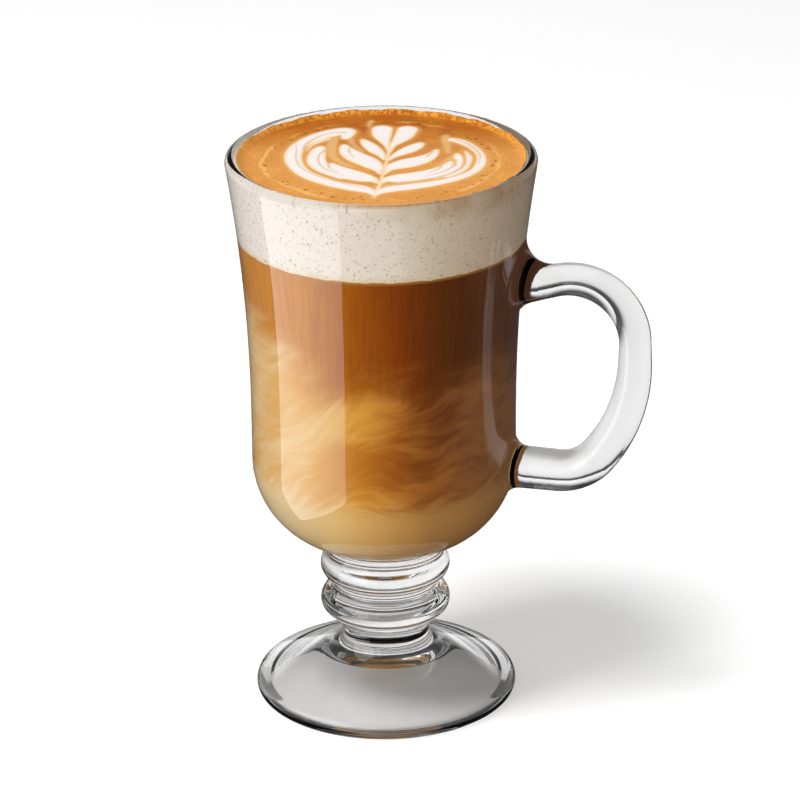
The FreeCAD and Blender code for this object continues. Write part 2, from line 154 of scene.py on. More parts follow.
def layer_mesh(name, under, over, wall_rows):
    """A layer of drink between two surfaces, from the axis out into the wall.

    Rings of points run out over the underside, up the wall and back in over the top.
    """
    turn = np.linspace(0, 2 * np.pi, TURNS, endpoint=False)
    cos, sin = np.cos(turn), np.sin(turn)
    low = level_at_wall(under, cos, sin)
    high = level_at_wall(over, cos, sin)
    rings = []
    low_radius = hollow_radius(low)
    for share in np.linspace(0, 1, DISC_RINGS + 1)[1:]:
        x, y = low_radius * share * cos, low_radius * share * sin
        rings.append(np.stack([x, y, under(x, y) if share < 1 else low], 1))
    for share in np.linspace(0, 1, wall_rows + 1)[1:]:
        climb = 1 - math.cos(share * math.pi / 2) if low[0] < CORNER_TOP else share
        level = low + (high - low) * climb
        radius = hollow_radius(level)
        rings.append(np.stack([radius * cos, radius * sin, level], 1))
    high_radius = hollow_radius(high)
    for share in np.linspace(1, 0, DISC_RINGS + 1)[1:-1]:
        x, y = high_radius * share * cos, high_radius * share * sin
        rings.append(np.stack([x, y, over(x, y)], 1))
    middle = np.zeros(1)
    points = [(0, 0, under(middle, middle)[0])]
    points += [tuple(point) for ring in rings for point in ring]
    points.append((0, 0, over(middle, middle)[0]))
    return smooth_mesh(name, points, ring_faces(len(rings), len(points)))


def level_at_wall(surface, cos, sin):
    """The heights at which a surface meets the wall, found by a few rounds of trial."""
    radius = np.full_like(cos, INNER_RADIUS)
    for _ in range(WALL_TRIALS):
        level = surface(radius * cos, radius * sin)
        radius = hollow_radius(level)
    return level


def ring_faces(ring_count, point_count):
    """Faces over rings of points, closed by a fan at the first point and at the last."""
    faces = []
    following = [(step + 1) % TURNS for step in range(TURNS)]
    for step in range(TURNS):
        faces.append((0, 1 + following[step], 1 + step))
    for ring in range(ring_count - 1):
        here = 1 + ring * TURNS
        above = here + TURNS
        for step in range(TURNS):
            nearby = following[step]
            faces.append((here + step, here + nearby, above + nearby, above + step))
    last = 1 + (ring_count - 1) * TURNS
    for step in range(TURNS):
        faces.append((last + step, last + following[step], point_count - 1))
    return faces


# ---- shader building ------------------------------------------------------------------

def add_node(tree, kind, settings=None, **inputs):
    """A node with its settings; each input is a value or a socket to link from."""
    made = tree.nodes.new(kind)
    for name, value in (settings or {}).items():
        setattr(made, name, value)
    for name, value in inputs.items():
        key = int(name[1:]) if name[0] == "_" and name[1:].isdigit() else name.replace("_", " ")
        connect(tree, value, made.inputs[key])
    return made


def connect(tree, value, socket):
    if isinstance(value, bpy.types.NodeSocket):
        tree.links.new(value, socket)
    else:
        socket.default_value = value


def math_node(tree, operation, first, second=0.0, clamp=False):
    settings = {"operation": operation, "use_clamp": clamp}
    return add_node(tree, "ShaderNodeMath", settings, _0=first, _1=second).outputs[0]


def swing(tree, value, width):
    """A noise value from 0 to 1, turned into a push of up to half the width either way."""
    made = math_node(tree, "MULTIPLY_ADD", value, width)
    made.node.inputs[2].default_value = -width / 2
    return made


def mix_colour(tree, share, first, second, blend="MIX"):
    settings = {"data_type": "RGBA", "blend_type": blend}
    made = add_node(tree, "ShaderNodeMix", settings)
    connect(tree, share, made.inputs["Factor"])
    connect(tree, first, made.inputs[6])
    connect(tree, second, made.inputs[7])
    return made.outputs[2]


def ramp(tree, value, stops):
    """A run of colours along a value; each stop is a place and a screen code."""
    made = add_node(tree, "ShaderNodeValToRGB", Fac=value)
    elements = made.color_ramp.elements
    while len(elements) > 1:
        elements.remove(elements[-1])
    elements[0].position, elements[0].color = stops[0][0], colour(stops[0][1])
    for place, code in stops[1:]:
        elements.new(place).color = colour(code)
    return made.outputs[0]


def remap(tree, value, low, high, to_low=0.0, to_high=1.0):
    """The value's run from low to high, eased over another range and held at its ends."""
    made = add_node(tree, "ShaderNodeMapRange", {"interpolation_type": "SMOOTHSTEP"},
                    Value=value, From_Min=low, From_Max=high, To_Min=to_low, To_Max=to_high)
    return made.outputs[0]


def colour(code):
    """A linear colour from its six-figure screen code."""
    shares = [int(code[start:start + 2], 16) / 255 for start in (0, 2, 4)]
    linear = [s / 12.92 if s <= 0.04045 else ((s + 0.055) / 1.055) ** 2.4 for s in shares]
    return (*linear, 1.0)


def place_of(tree):
    """The surface's own place, in metres, as a vector and its three parts."""
    vector = add_node(tree, "ShaderNodeTexCoord").outputs["Object"]
    parts = add_node(tree, "ShaderNodeSeparateXYZ", _0=vector)
    return vector, parts.outputs[0], parts.outputs[1], parts.outputs[2]


def new_material(name):
    material = bpy.data.materials.new(name)
    material.use_nodes = True
    tree = material.node_tree
    tree.nodes.clear()
    return material, tree


def finish_material(tree, shader):
    add_node(tree, "ShaderNodeOutputMaterial", Surface=shader)


def new_group(name, inputs, outputs):
    """An empty shader group; inputs are name: default, and a tuple default makes a vector."""
    group = bpy.data.node_groups.new(name, "ShaderNodeTree")
    for label, default in inputs.items():
        kind = "NodeSocketVector" if isinstance(default, tuple) else "NodeSocketFloat"
        group.interface.new_socket(label, in_out="INPUT", socket_type=kind).default_value = default
    for label in outputs:
        group.interface.new_socket(label, in_out="OUTPUT", socket_type="NodeSocketFloat")
    given = group.nodes.new("NodeGroupInput").outputs
    return group, given, group.nodes.new("NodeGroupOutput").inputs


def use_group(tree, group, **inputs):
    return add_node(tree, "ShaderNodeGroup", {"node_tree": group}, **inputs)


# ---- shared effects -------------------------------------------------------------------

def make_flow():
    """Drifting cloud: noise whose place is pushed about by slower noise."""
    group, given, out = new_group(
        "Drifting Cloud",
        {"Place": (0.0, 0.0, 0.0), "Squash": (1.0, 1.0, 1.0), "Scale": 60.0, "Drift": 0.01,
         "Drift Scale": 30.0, "Detail": 6.0, "Roughness": 0.55},
        ["Cloud"])
    slow = add_node(group, "ShaderNodeTexNoise", Vector=given["Place"],
                    Scale=given["Drift Scale"], Detail=2.0)
    centred = add_node(group, "ShaderNodeVectorMath", {"operation": "SUBTRACT"},
                       _0=slow.outputs["Color"], _1=(0.5, 0.5, 0.5))
    push = add_node(group, "ShaderNodeVectorMath", {"operation": "SCALE"},
                    _0=centred.outputs[0], Scale=given["Drift"])
    moved = add_node(group, "ShaderNodeVectorMath", {"operation": "ADD"},
                     _0=given["Place"], _1=push.outputs[0])
    squashed = add_node(group, "ShaderNodeVectorMath", {"operation": "MULTIPLY"},
                        _0=moved.outputs[0], _1=given["Squash"])
    cloud = add_node(group, "ShaderNodeTexNoise", Vector=squashed.outputs[0],
                     Scale=given["Scale"], Detail=given["Detail"], Roughness=given["Roughness"])
    connect(group, cloud.outputs["Fac"], out["Cloud"])
    return group


def make_pores():
    """Fine bubbles: round pits of mixed size, thinned out by chance."""
    group, given, out = new_group(
        "Fine Bubbles",
        {"Place": (0.0, 0.0, 0.0), "Scale": 900.0, "Size": 0.25, "Scatter": 0.5},
        ["Pits", "Height"])
    cells = add_node(group, "ShaderNodeTexVoronoi", {"feature": "F1"}, Vector=given["Place"],
                     Scale=given["Scale"], Randomness=1.0)
    chance = add_node(group, "ShaderNodeSeparateColor", Color=cells.outputs["Color"])
    reach = math_node(group, "MULTIPLY", chance.outputs[0], given["Size"])
    nearness = math_node(group, "SUBTRACT", reach, cells.outputs["Distance"])
    sharp = remap(group, nearness, 0.0, 0.08)
    chosen = math_node(group, "GREATER_THAN", chance.outputs[1], given["Scatter"])
    pits = math_node(group, "MULTIPLY", sharp, chosen)
    connect(group, pits, out["Pits"])
    connect(group, math_node(group, "SUBTRACT", 1.0, pits), out["Height"])
    return group


def make_side_gradient():
    """A gradient across the mug from 0 at one side to 1 at the other; the drink's painted light
    and shade follow it.
    """
    group, given, out = new_group(
        "Side Gradient", {"Across": 0.0, "Forward": 0.0, "From": -0.03, "To": 0.03}, ["Strength"])
    along = math_node(group, "MULTIPLY", given["Across"], math.cos(GRADIENT_TURN))
    aside = math_node(group, "MULTIPLY", given["Forward"], math.sin(GRADIENT_TURN))
    total = math_node(group, "ADD", along, aside)
    made = add_node(group, "ShaderNodeMapRange", {"interpolation_type": "LINEAR"}, Value=total,
                    From_Min=given["From"], From_Max=given["To"])
    connect(group, made.outputs[0], out["Strength"])
    return group


FLOW = make_flow()
PORES = make_pores()
SIDE_GRADIENT = make_side_gradient()


# ---- finishes -------------------------------------------------------------------------

def glass_finish():
    """Clear pressed glass, faintly uneven, that lets the lamps through to the drink."""
    material, tree = new_material("clear_glass")
    vector, *_ = place_of(tree)
    cloud = use_group(tree, FLOW, Place=vector, Scale=45.0, Drift=0.004, Detail=1.0)
    bump = add_node(tree, "ShaderNodeBump", Strength=0.03, Distance=0.2 * MM,
                    Height=cloud.outputs["Cloud"])
    clear = add_node(tree, "ShaderNodeBsdfPrincipled", Base_Color=(0.95, 0.952, 0.952, 1.0),
                     Roughness=0.0, IOR=1.5, Transmission_Weight=1.0, Normal=bump.outputs[0])
    path = add_node(tree, "ShaderNodeLightPath")
    through = math_node(tree, "MAXIMUM", path.outputs["Is Shadow Ray"],
                        path.outputs["Is Diffuse Ray"])
    open_air = add_node(tree, "ShaderNodeBsdfTransparent", Color=(0.83, 0.83, 0.83, 1.0))
    both = add_node(tree, "ShaderNodeMixShader", _0=through, _1=clear.outputs[0],
                    _2=open_air.outputs[0])
    finish_material(tree, both.outputs[0])
    return material


def drink_shader(tree, base, roughness=0.5, specular=0.05, **inputs):
    """A soft surface behind or under glass, with hardly any mirror of its own."""
    made = add_node(tree, "ShaderNodeBsdfPrincipled", Base_Color=base, Roughness=roughness,
                    Specular_IOR_Level=specular, **inputs)
    return made.outputs[0]


# Each layer's colour from its lit side to its shaded side: painted light and shade across the mug.
COFFEE_TONES = [(0.03, "da9040"), (0.19, "d48830"), (0.31, "bb6c0c"), (0.4, "a85600"),
                (0.57, "8a3d00"), (0.72, "6e3404"), (0.82, "66340e"), (0.93, "78482c")]
CARAMEL_TONES = [(0.03, "f4d09c"), (0.19, "f3cd8e"), (0.31, "eebb66"), (0.4, "e8a440"),
                 (0.57, "c88030"), (0.68, "b06a2a"), (0.8, "ab6a36"), (0.93, "b07542")]
RUST_TONES = [(0.03, "edb668"), (0.19, "ebb05c"), (0.31, "da963c"), (0.4, "c87820"),
              (0.57, "984e10"), (0.68, "80400f"), (0.8, "7a4220"), (0.93, "96603a")]
MILK_TONES = [(0.1, "f9dba6"), (0.31, "f6cc84"), (0.4, "efba6c"), (0.57, "d79e54"),
              (0.68, "c48c4b"), (0.9, "c28c4e")]
FOAM_TONES = [(0.1, "fdf5eb"), (0.4, "fbefdf"), (0.57, "faecd8"), (0.75, "efd9bd"),
              (0.95, "edd2b6")]


# painted light and shade across the mug: 0 on the lit side, 1 on the shaded side
def painted_light_across(tree, x, y):
    return use_group(tree, SIDE_GRADIENT, Across=x, Forward=y).outputs["Strength"]


def brew_colours(tree, vector, x, y, z):
    """Coffee over marbled band over milk, as one colour that runs through all three layers."""
    # strength is painted light and shade: every layer's colour darkens away from the lit side
    strength = painted_light_across(tree, x, y)
    sweep = add_node(tree, "ShaderNodeVectorRotate", {"rotation_type": "AXIS_ANGLE"},
                     Vector=vector, Axis=(0.3, 1.0, 0.0), Angle=0.5)
    billow = use_group(tree, FLOW, Place=sweep.outputs[0], Squash=(1.0, 1.0, 3.0), Scale=30.0,
                       Drift=0.034, Drift_Scale=22.0, Detail=5.0, Roughness=0.5).outputs["Cloud"]
    wisp = use_group(tree, FLOW, Place=sweep.outputs[0], Squash=(1.0, 1.0, 7.0), Scale=75.0,
                     Drift=0.026, Drift_Scale=34.0, Detail=8.0, Roughness=0.6).outputs["Cloud"]
    wisps = swing(tree, wisp, 0.55)
    # coffee with fine upright streaks
    streak = use_group(tree, FLOW, Place=vector, Squash=(1.0, 1.0, 0.02), Scale=900.0,
                       Drift=0.0, Detail=3.0).outputs["Cloud"]
    coffee = mix_colour(tree, remap(tree, streak, 0.4, 0.65, 0.0, 0.16),
                        ramp(tree, strength, COFFEE_TONES), colour("5a2c0a"), "MULTIPLY")
    # the marbled band: rust drifting through caramel
    shade = math_node(tree, "ADD", billow, wisps)
    marble = mix_colour(tree, remap(tree, shade, 0.32, 0.68),
                        ramp(tree, strength, CARAMEL_TONES), ramp(tree, strength, RUST_TONES))
    # the coffee fades down into the band along drifting edges
    tilt = math_node(tree, "MULTIPLY", remap(tree, strength, 0.0, 0.32, 1.0, -0.35), FADE_TILT)
    drift = math_node(tree, "ADD", swing(tree, billow, FADE_BILLOW),
                      math_node(tree, "MULTIPLY", wisps, FADE_WISPS))
    edge = math_node(tree, "ADD", math_node(tree, "SUBTRACT", z, tilt), drift)
    coffee_share = remap(tree, edge, COFFEE_FROM - FADE_BELOW, COFFEE_FROM + FADE_ABOVE)
    brew = mix_colour(tree, coffee_share, marble, coffee)
    # milk below
    floor_edge = math_node(tree, "ADD", z, swing(tree, wisp, MILK_DRIFT))
    marble_share = remap(tree, floor_edge, MARBLE_FROM - 2.5 * MM, MARBLE_FROM + 3.5 * MM)
    return mix_colour(tree, marble_share, ramp(tree, strength, MILK_TONES), brew)


def brew_finish(name, line=False):
    """The finish of one of the three liquid layers, with a golden line under the foam."""
    material, tree = new_material(name)
    vector, x, y, z = place_of(tree)
    base = brew_colours(tree, vector, x, y, z)
    if line:
        gold = remap(tree, z, FOAM_FROM - 1.0 * MM, FOAM_FROM - 0.1 * MM)
        base = mix_colour(tree, math_node(tree, "MULTIPLY", gold, 0.75), base, colour("c98a3c"))
    finish_material(tree, drink_shader(tree, base))
    return material


def foam_colours(tree, vector, x, y, z):
    """Milk foam's colour and its pits: cream white with painted shade darkening it away from the
    lit side, stained where it lies under the crema.
    """
    # strength is painted light and shade across the foam
    strength = painted_light_across(tree, x, y)
    cloud = use_group(tree, FLOW, Place=vector, Scale=180.0, Drift=0.004, Detail=5.0).outputs[0]
    low = math_node(tree, "MULTIPLY", remap(tree, z, FOAM_FROM + 2.2 * MM, FOAM_FROM),
                    remap(tree, cloud, 0.35, 0.65, 0.25, 0.8))
    tinted = mix_colour(tree, low, ramp(tree, strength, FOAM_TONES), colour("edd3a8"))
    # the stain under the crema is real; its painted shade makes it heavier away from the lit side
    high = math_node(tree, "MULTIPLY", remap(tree, z, CREMA_FROM - 4.5 * MM, CREMA_TOP),
                     remap(tree, strength, 0.35, 0.9, 0.08, 1.0))
    stain_and_shade = math_node(tree, "MULTIPLY", high, remap(tree, cloud, 0.35, 0.65, 0.15, 0.7))
    stained = mix_colour(tree, stain_and_shade, tinted, colour("c39a68"))
    small = use_group(tree, PORES, Place=vector, Scale=1300.0, Size=0.55, Scatter=0.35)
    large = use_group(tree, PORES, Place=vector, Scale=800.0, Size=0.34, Scatter=0.45)
    froth = use_group(tree, FLOW, Place=vector, Scale=900.0, Drift=0.0, Detail=4.0).outputs[0]
    pits = math_node(tree, "MAXIMUM", math_node(tree, "MULTIPLY", small.outputs[0], 0.32),
                     math_node(tree, "MULTIPLY", large.outputs[0], 0.6))
    pits = math_node(tree, "MAXIMUM", pits, remap(tree, froth, 0.45, 0.75, 0.0, 0.1))
    return mix_colour(tree, pits, stained, colour("b8925e")), large.outputs["Height"]


def foam_finish():
    """Milk foam against the glass."""
    material, tree = new_material("milk_foam")
    vector, x, y, z = place_of(tree)
    pitted, height = foam_colours(tree, vector, x, y, z)
    bump = add_node(tree, "ShaderNodeBump", Strength=0.3, Distance=0.15 * MM, Height=height)
    finish_material(tree, drink_shader(tree, pitted, roughness=0.6, Normal=bump.outputs[0]))
    return material


def crema_ground(tree, flat_place, out, forward, cloud, grain):
    """Golden in front and deeper at the back, with fine round streaks and beads at the glass."""
    mottle = remap(tree, cloud, 0.35, 0.65)
    front = mix_colour(tree, mottle, colour("c46e18"), colour("de9238"))
    back = mix_colour(tree, mottle, colour("a85404"), colour("bd6c12"))
    ground = mix_colour(tree, remap(tree, forward, 0.1, 0.6, 1.0, 0.0), front, back)
    rings = add_node(tree, "ShaderNodeTexWave", {"wave_type": "RINGS", "rings_direction": "Z"},
                     Vector=flat_place, Scale=330.0, Distortion=7.0, Detail=3.0, Detail_Scale=1.5)
    streak = remap(tree, rings.outputs["Fac"], 0.3, 0.9, 0.0, 0.38)
    streaked = mix_colour(tree, streak, ground, colour("9c4a08"))
    grained = mix_colour(tree, remap(tree, grain, 0.42, 0.7, 0.0, 0.55), streaked,
                         colour("9a4a0a"))
    paled = mix_colour(tree, remap(tree, forward, 0.1, 0.5, 0.1, 0.5), grained,
                       colour("e6ab60"))
    edge = hollow_radius(CREMA_TOP).item()
    bead = math_node(tree, "MULTIPLY", remap(tree, out, edge - 1.5 * MM, edge - 0.5 * MM),
                     remap(tree, grain, 0.4, 0.6, 0.0, 0.85))
    return mix_colour(tree, bead, paled, colour("e8a23c"))


def crema_rings(tree, ground, vector, out, cloud, pits):
    """A broken pale trail near the glass, and just inside it a broken ring of dark pores."""
    swayed = math_node(tree, "ADD", out, swing(tree, cloud, TRAIL_SWAY))
    trail = math_node(tree, "ABSOLUTE", math_node(tree, "SUBTRACT", swayed, TRAIL_RADIUS))
    slow = use_group(tree, FLOW, Place=vector, Scale=45.0, Drift=0.0, Detail=2.0).outputs[0]
    trail_share = math_node(tree, "MULTIPLY", remap(tree, slow, 0.42, 0.56),
                            remap(tree, trail, 0.9 * MM, 0.1 * MM, 0.0, 0.7))
    trailed = mix_colour(tree, trail_share, ground, colour("edb96f"))
    ring = math_node(tree, "ABSOLUTE", math_node(tree, "SUBTRACT", swayed, PORE_RADIUS))
    near_ring = remap(tree, ring, 1.3 * MM, 0.4 * MM, 0.1, 1.0)
    dots = math_node(tree, "MULTIPLY", pits, math_node(tree, "MULTIPLY", near_ring, 0.6))
    return mix_colour(tree, dots, trailed, colour("6a2c04"))


def leaf_colours(tree, ground, out, cloud):
    """The white leaf over its cream edge, halo and tan blurs, with thin veins of coffee.

    Its distances are in millimetres, and below zero inside the white.
    """
    leaf, vein, blur = [
        add_node(tree, "ShaderNodeAttribute", {"attribute_name": label}).outputs["Fac"]
        for label in ("leaf_distance", "vein_distance", "blur_distance")]
    shore = math_node(tree, "ADD", leaf, swing(tree, cloud, 0.3))
    blurred = mix_colour(tree, remap(tree, blur, 1.1, -0.3, 0.0, 0.8), ground, colour("dfb176"))
    reach = remap(tree, out, 13 * MM, 20 * MM, 0.5, 1.6)
    near = math_node(tree, "SUBTRACT", 1.0, math_node(tree, "DIVIDE", shore, reach, clamp=True))
    halo = mix_colour(tree, math_node(tree, "MULTIPLY", near, 0.75), blurred, colour("e2ac66"))
    cream = mix_colour(tree, remap(tree, shore, 0.3, -0.15), halo, colour("f0d0a8"))
    white = mix_colour(tree, remap(tree, shore, -0.05, -0.75), cream, colour("ece3df"))
    vein_share = math_node(tree, "MULTIPLY", remap(tree, vein, 0.42, -0.05), 0.8)
    return mix_colour(tree, vein_share, white, colour("dcb58a"))


def crema_finish():
    """Golden crema with dark pores and pale trails, and the white leaf let into it."""
    material, tree = new_material("crema")
    vector, x, y, z = place_of(tree)
    flat_place = add_node(tree, "ShaderNodeCombineXYZ", X=x, Y=y).outputs[0]
    out = add_node(tree, "ShaderNodeVectorMath", {"operation": "LENGTH"},
                   _0=flat_place).outputs["Value"]
    forward = use_group(tree, SIDE_GRADIENT, Across=math_node(tree, "MULTIPLY", y, -1.0), Forward=x,
                        From=-0.034, To=0.034).outputs["Strength"]
    cloud = use_group(tree, FLOW, Place=vector, Scale=110.0, Drift=0.02, Drift_Scale=60.0,
                      Detail=7.0, Roughness=0.6).outputs[0]
    grain = use_group(tree, FLOW, Place=vector, Scale=1100.0, Drift=0.0, Detail=3.0).outputs[0]
    pores = use_group(tree, PORES, Place=vector, Scale=900.0, Size=0.6, Scatter=0.35)
    ground = crema_ground(tree, flat_place, out, forward, cloud, grain)
    ringed = crema_rings(tree, ground, vector, out, cloud, pores.outputs["Pits"])
    top = leaf_colours(tree, ringed, out, cloud)
    # below its top the crema's edge is foam against the glass
    foam, _ = foam_colours(tree, vector, x, y, z)
    sunk = remap(tree, z, CREMA_TOP - 0.15 * MM, CREMA_TOP - 0.45 * MM)
    sided = mix_colour(tree, sunk, top, foam)
    soft = math_node(tree, "MULTIPLY", pores.outputs["Height"], 0.5)
    height = math_node(tree, "ADD", soft, math_node(tree, "MULTIPLY", grain, 0.6))
    bump = add_node(tree, "ShaderNodeBump", Strength=0.3, Distance=0.12 * MM, Height=height)
    finish_material(tree, drink_shader(tree, sided, specular=0.06, Normal=bump.outputs[0]))
    return material


# ---- the leaf on the crema -------------------------------------------------------------

LEAF_TURN = math.radians(9.3)        # from +Y, about the mug's axis
LEAF_MIDDLE = (1.0 * MM, -0.6 * MM)  # the leaf's own middle, from the mug's axis

# Each lobe of milk runs from the stem out to its tip. Each row is a place on its middle line,
# across the leaf and up it, and the half width there, all in millimetres in the leaf's own frame.
LOBES = (
    # the heart
    ((0.1, 8.0, 0.2), (-0.6, 12.0, 0.7), (-1.7, 16.0, 1.5), (-2.6, 20.0, 2.4), (-3.0, 24.4, 2.6)),
    ((0.4, 6.0, 0.3), (0.9, 12.0, 0.8), (2.1, 16.0, 1.7), (3.0, 20.0, 2.4), (3.4, 24.4, 2.6)),
    # leaves on the left
    ((-0.2, 1.5, 0.3), (-1.3, 4.9, 1.0), (-2.9, 7.8, 1.7), (-4.4, 10.8, 1.8), (-6.0, 13.8, 1.3),
     (-7.1, 16.1, 0.4)),
    ((-0.2, -9.0, 0.3), (-0.9, -6.4, 1.0), (-2.1, -3.6, 2.2), (-4.6, -0.1, 3.0),
     (-7.4, 3.1, 2.9), (-9.4, 6.2, 2.3), (-10.7, 9.4, 1.4), (-11.1, 11.2, 0.8)),
    ((-0.2, -15.6, 0.4), (-1.5, -13.6, 1.3), (-4.5, -11.9, 2.8), (-8.4, -9.4, 3.2),
     (-11.0, -6.4, 2.3), (-12.3, -3.6, 1.1), (-12.7, -2.6, 0.6)),
    ((-9.0, -11.0, 2.4), (-13.4, -7.2, 2.4), (-15.8, -3.6, 2.4), (-16.9, 0.0, 2.3),
     (-17.1, 4.0, 2.1), (-17.1, 7.0, 1.7), (-16.8, 9.2, 1.1)),
    ((-20.0, 6.5, 0.1), (-19.1, 11.0, 0.3), (-17.3, 14.0, 0.5), (-15.5, 16.0, 0.5)),
    ((0.0, -26.0, 0.1), (-0.1, -24.2, 0.5), (-1.6, -21.6, 1.5), (-4.2, -19.9, 2.2),
     (-9.3, -17.8, 2.1), (-14.5, -14.3, 2.1), (-18.6, -10.0, 2.0), (-21.2, -5.0, 2.0),
     (-22.6, 0.0, 2.1), (-23.0, 5.0, 2.1), (-22.3, 10.0, 2.0), (-20.0, 15.0, 2.2),
     (-16.6, 19.2, 2.5), (-12.2, 22.0, 2.5), (-11.3, 19.4, 1.7), (-11.4, 17.2, 1.2)),
    # leaves on the right
    ((0.8, 1.0, 0.3), (1.9, 4.0, 0.8), (3.5, 6.6, 1.5), (5.2, 9.3, 2.0), (6.6, 11.8, 1.8),
     (7.6, 13.9, 1.0)),
    ((0.9, -9.3, 0.3), (1.6, -6.0, 0.9), (2.9, -3.4, 2.1), (5.7, -0.9, 3.0), (8.8, 1.9, 2.6),
     (10.8, 4.9, 1.7), (11.7, 7.6, 1.0), (12.0, 9.4, 0.6)),
    ((0.9, -15.6, 0.3), (2.0, -13.2, 1.3), (4.7, -12.0, 2.8), (8.6, -10.4, 3.1),
     (12.3, -8.1, 3.1), (15.4, -4.6, 2.5), (16.1, -0.9, 1.2), (16.3, 1.0, 0.6)),
    ((13.0, -10.4, 1.3), (16.2, -7.4, 1.3), (18.1, -3.4, 0.9), (18.6, 0.0, 0.8),
     (18.1, 3.4, 1.1), (17.6, 5.6, 1.0), (17.4, 7.0, 0.4)),
    ((16.2, -9.7, 0.8), (18.9, -6.4, 0.8), (20.3, -3.0, 0.7), (20.7, 0.0, 0.6),
     (20.6, 4.0, 0.8), (20.0, 6.8, 0.6), (19.2, 9.2, 0.2)),
    ((0.1, -26.0, 0.1), (0.3, -24.0, 0.6), (1.7, -21.4, 1.4), (4.0, -19.6, 2.0),
     (8.0, -17.8, 2.0), (12.6, -15.5, 1.8), (17.5, -12.0, 1.5), (21.0, -8.0, 1.3),
     (23.0, -4.0, 1.2), (23.7, 0.0, 1.3), (23.6, 4.0, 1.2), (22.8, 8.0, 1.1),
     (20.5, 12.7, 1.2), (17.5, 16.3, 1.4), (15.3, 17.6, 1.2)),
    # the stem
    ((0.1, -26.0, 0.1), (0.3, -22.0, 0.5), (0.6, -15.0, 0.3), (0.5, -9.0, 0.25),
     (0.5, -3.0, 0.25), (0.5, 3.0, 0.25), (0.3, 9.0, 0.2), (0.2, 15.0, 0.1)),
)

# Thin trails of coffee that the white runs carry inside them.
VEINS = (
    ((-12.0, 20.8, 0.3), (-14.6, 20.5, 0.2), (-17.4, 18.4, 0.2), (-19.4, 15.0, 0.25),
     (-20.7, 11.0, 0.3), (-20.9, 7.0, 0.2)),
    ((-23.3, 12.0, 0.0), (-22.4, 5.0, 0.1), (-21.9, 0.0, 0.1), (-20.4, -5.0, 0.1),
     (-17.4, -9.8, 0.1), (-13.0, -14.0, 0.1), (-7.0, -17.6, 0.1), (-2.5, -20.0, 0.0)),
    ((-15.4, 7.2, 0.2), (-16.5, 4.0, 0.2), (-16.4, 0.0, 0.15), (-15.1, -4.6, 0.15),
     (-12.4, -8.2, 0.1), (-9.0, -10.9, 0.0)),
    ((-13.6, -3.4, 0.2), (-12.6, -6.2, 0.1), (-10.6, -8.4, 0.0)),
    ((-9.6, 9.6, 0.1), (-9.4, 6.5, 0.15), (-7.8, 2.2, 0.0)),
    ((11.3, 8.4, 0.1), (10.6, 6.0, 0.25), (10.1, 4.2, 0.1)),
    ((16.2, 17.5, 0.1), (19.0, 14.9, 0.2), (21.6, 10.6, 0.2), (23.1, 6.0, 0.1),
     (23.3, 0.0, 0.0)),
    ((17.4, 2.4, 0.2), (17.2, -1.5, 0.2), (16.0, -5.0, 0.15), (13.8, -7.8, 0.1),
     (10.5, -10.5, 0.0)),
    ((19.5, 5.0, 0.2), (19.6, -1.0, 0.2), (18.2, -5.5, 0.2), (16.0, -8.8, 0.2),
     (13.0, -11.2, 0.15), (9.0, -13.3, 0.1), (5.0, -14.8, 0.0)),
    ((14.3, -2.4, 0.25), (13.6, -5.0, 0.1), (11.4, -8.0, 0.0)),
)

# Coffee that milk has blurred to tan, between the runs.
BLURS = (
    ((-14.4, 17.0, 0.8), (-14.3, 12.0, 0.9), (-13.9, 7.0, 0.8), (-12.9, 2.5, 0.6),
     (-10.5, -1.6, 0.3), (-7.5, -4.8, 0.0)),
    ((-9.9, 15.8, 0.4), (-9.3, 13.0, 0.2), (-8.0, 10.2, 0.1), (-6.2, 7.4, 0.0)),
    ((13.4, 20.4, 0.6), (13.6, 17.4, 0.8), (14.3, 13.0, 0.5), (15.0, 8.0, 0.3)),
    ((16.5, 4.6, 0.5), (15.7, 2.4, 0.8), (14.4, -0.8, 0.4), (12.6, -3.2, 0.1)),
    ((-6.6, 26.5, 0.2), (-6.4, 30.5, 0.3)),
    ((1.2, -17.9, 0.3), (4.0, -16.5, 0.5), (8.6, -14.8, 0.5), (13.0, -12.6, 0.4),
     (17.2, -9.4, 0.2)),
)


def smooth_line(rows, steps=14):
    """A smooth line through rows of place and half width, as many closely spaced rows."""
    rows = np.array(rows, float)
    ends = np.concatenate([2 * rows[:1] - rows[1:2], rows, 2 * rows[-1:] - rows[-2:-1]])
    share = np.linspace(0, 1, steps, endpoint=False)[:, None]
    spans = []
    for before, here, after, beyond in zip(ends, ends[1:], ends[2:], ends[3:]):
        bend = 2 * before - 5 * here + 4 * after - beyond
        twist = 3 * (here - after) + beyond - before
        spans.append(here + 0.5 * share * (after - before + share * (bend + share * twist)))
    return np.concatenate(spans + [rows[-1:]])


def line_distance(place, rows):
    """How far each place is outside the edge of a line of changing width."""
    line = smooth_line(rows)
    apart = np.hypot(place[:, None, 0] - line[None, :, 0], place[:, None, 1] - line[None, :, 1])
    return (apart - line[None, :, 2]).min(1)


def leaf_distances(x, y):
    """Distance to the white leaf, to the thin trails and to the blurs in it, in millimetres."""
    aside, ahead = x - LEAF_MIDDLE[0], y - LEAF_MIDDLE[1]
    place = np.stack([aside * math.cos(LEAF_TURN) + ahead * math.sin(LEAF_TURN),
                      ahead * math.cos(LEAF_TURN) - aside * math.sin(LEAF_TURN)], 1) / MM
    return [np.min([line_distance(place, line) for line in lines], axis=0)
            for lines in (LOBES, VEINS, BLURS)]


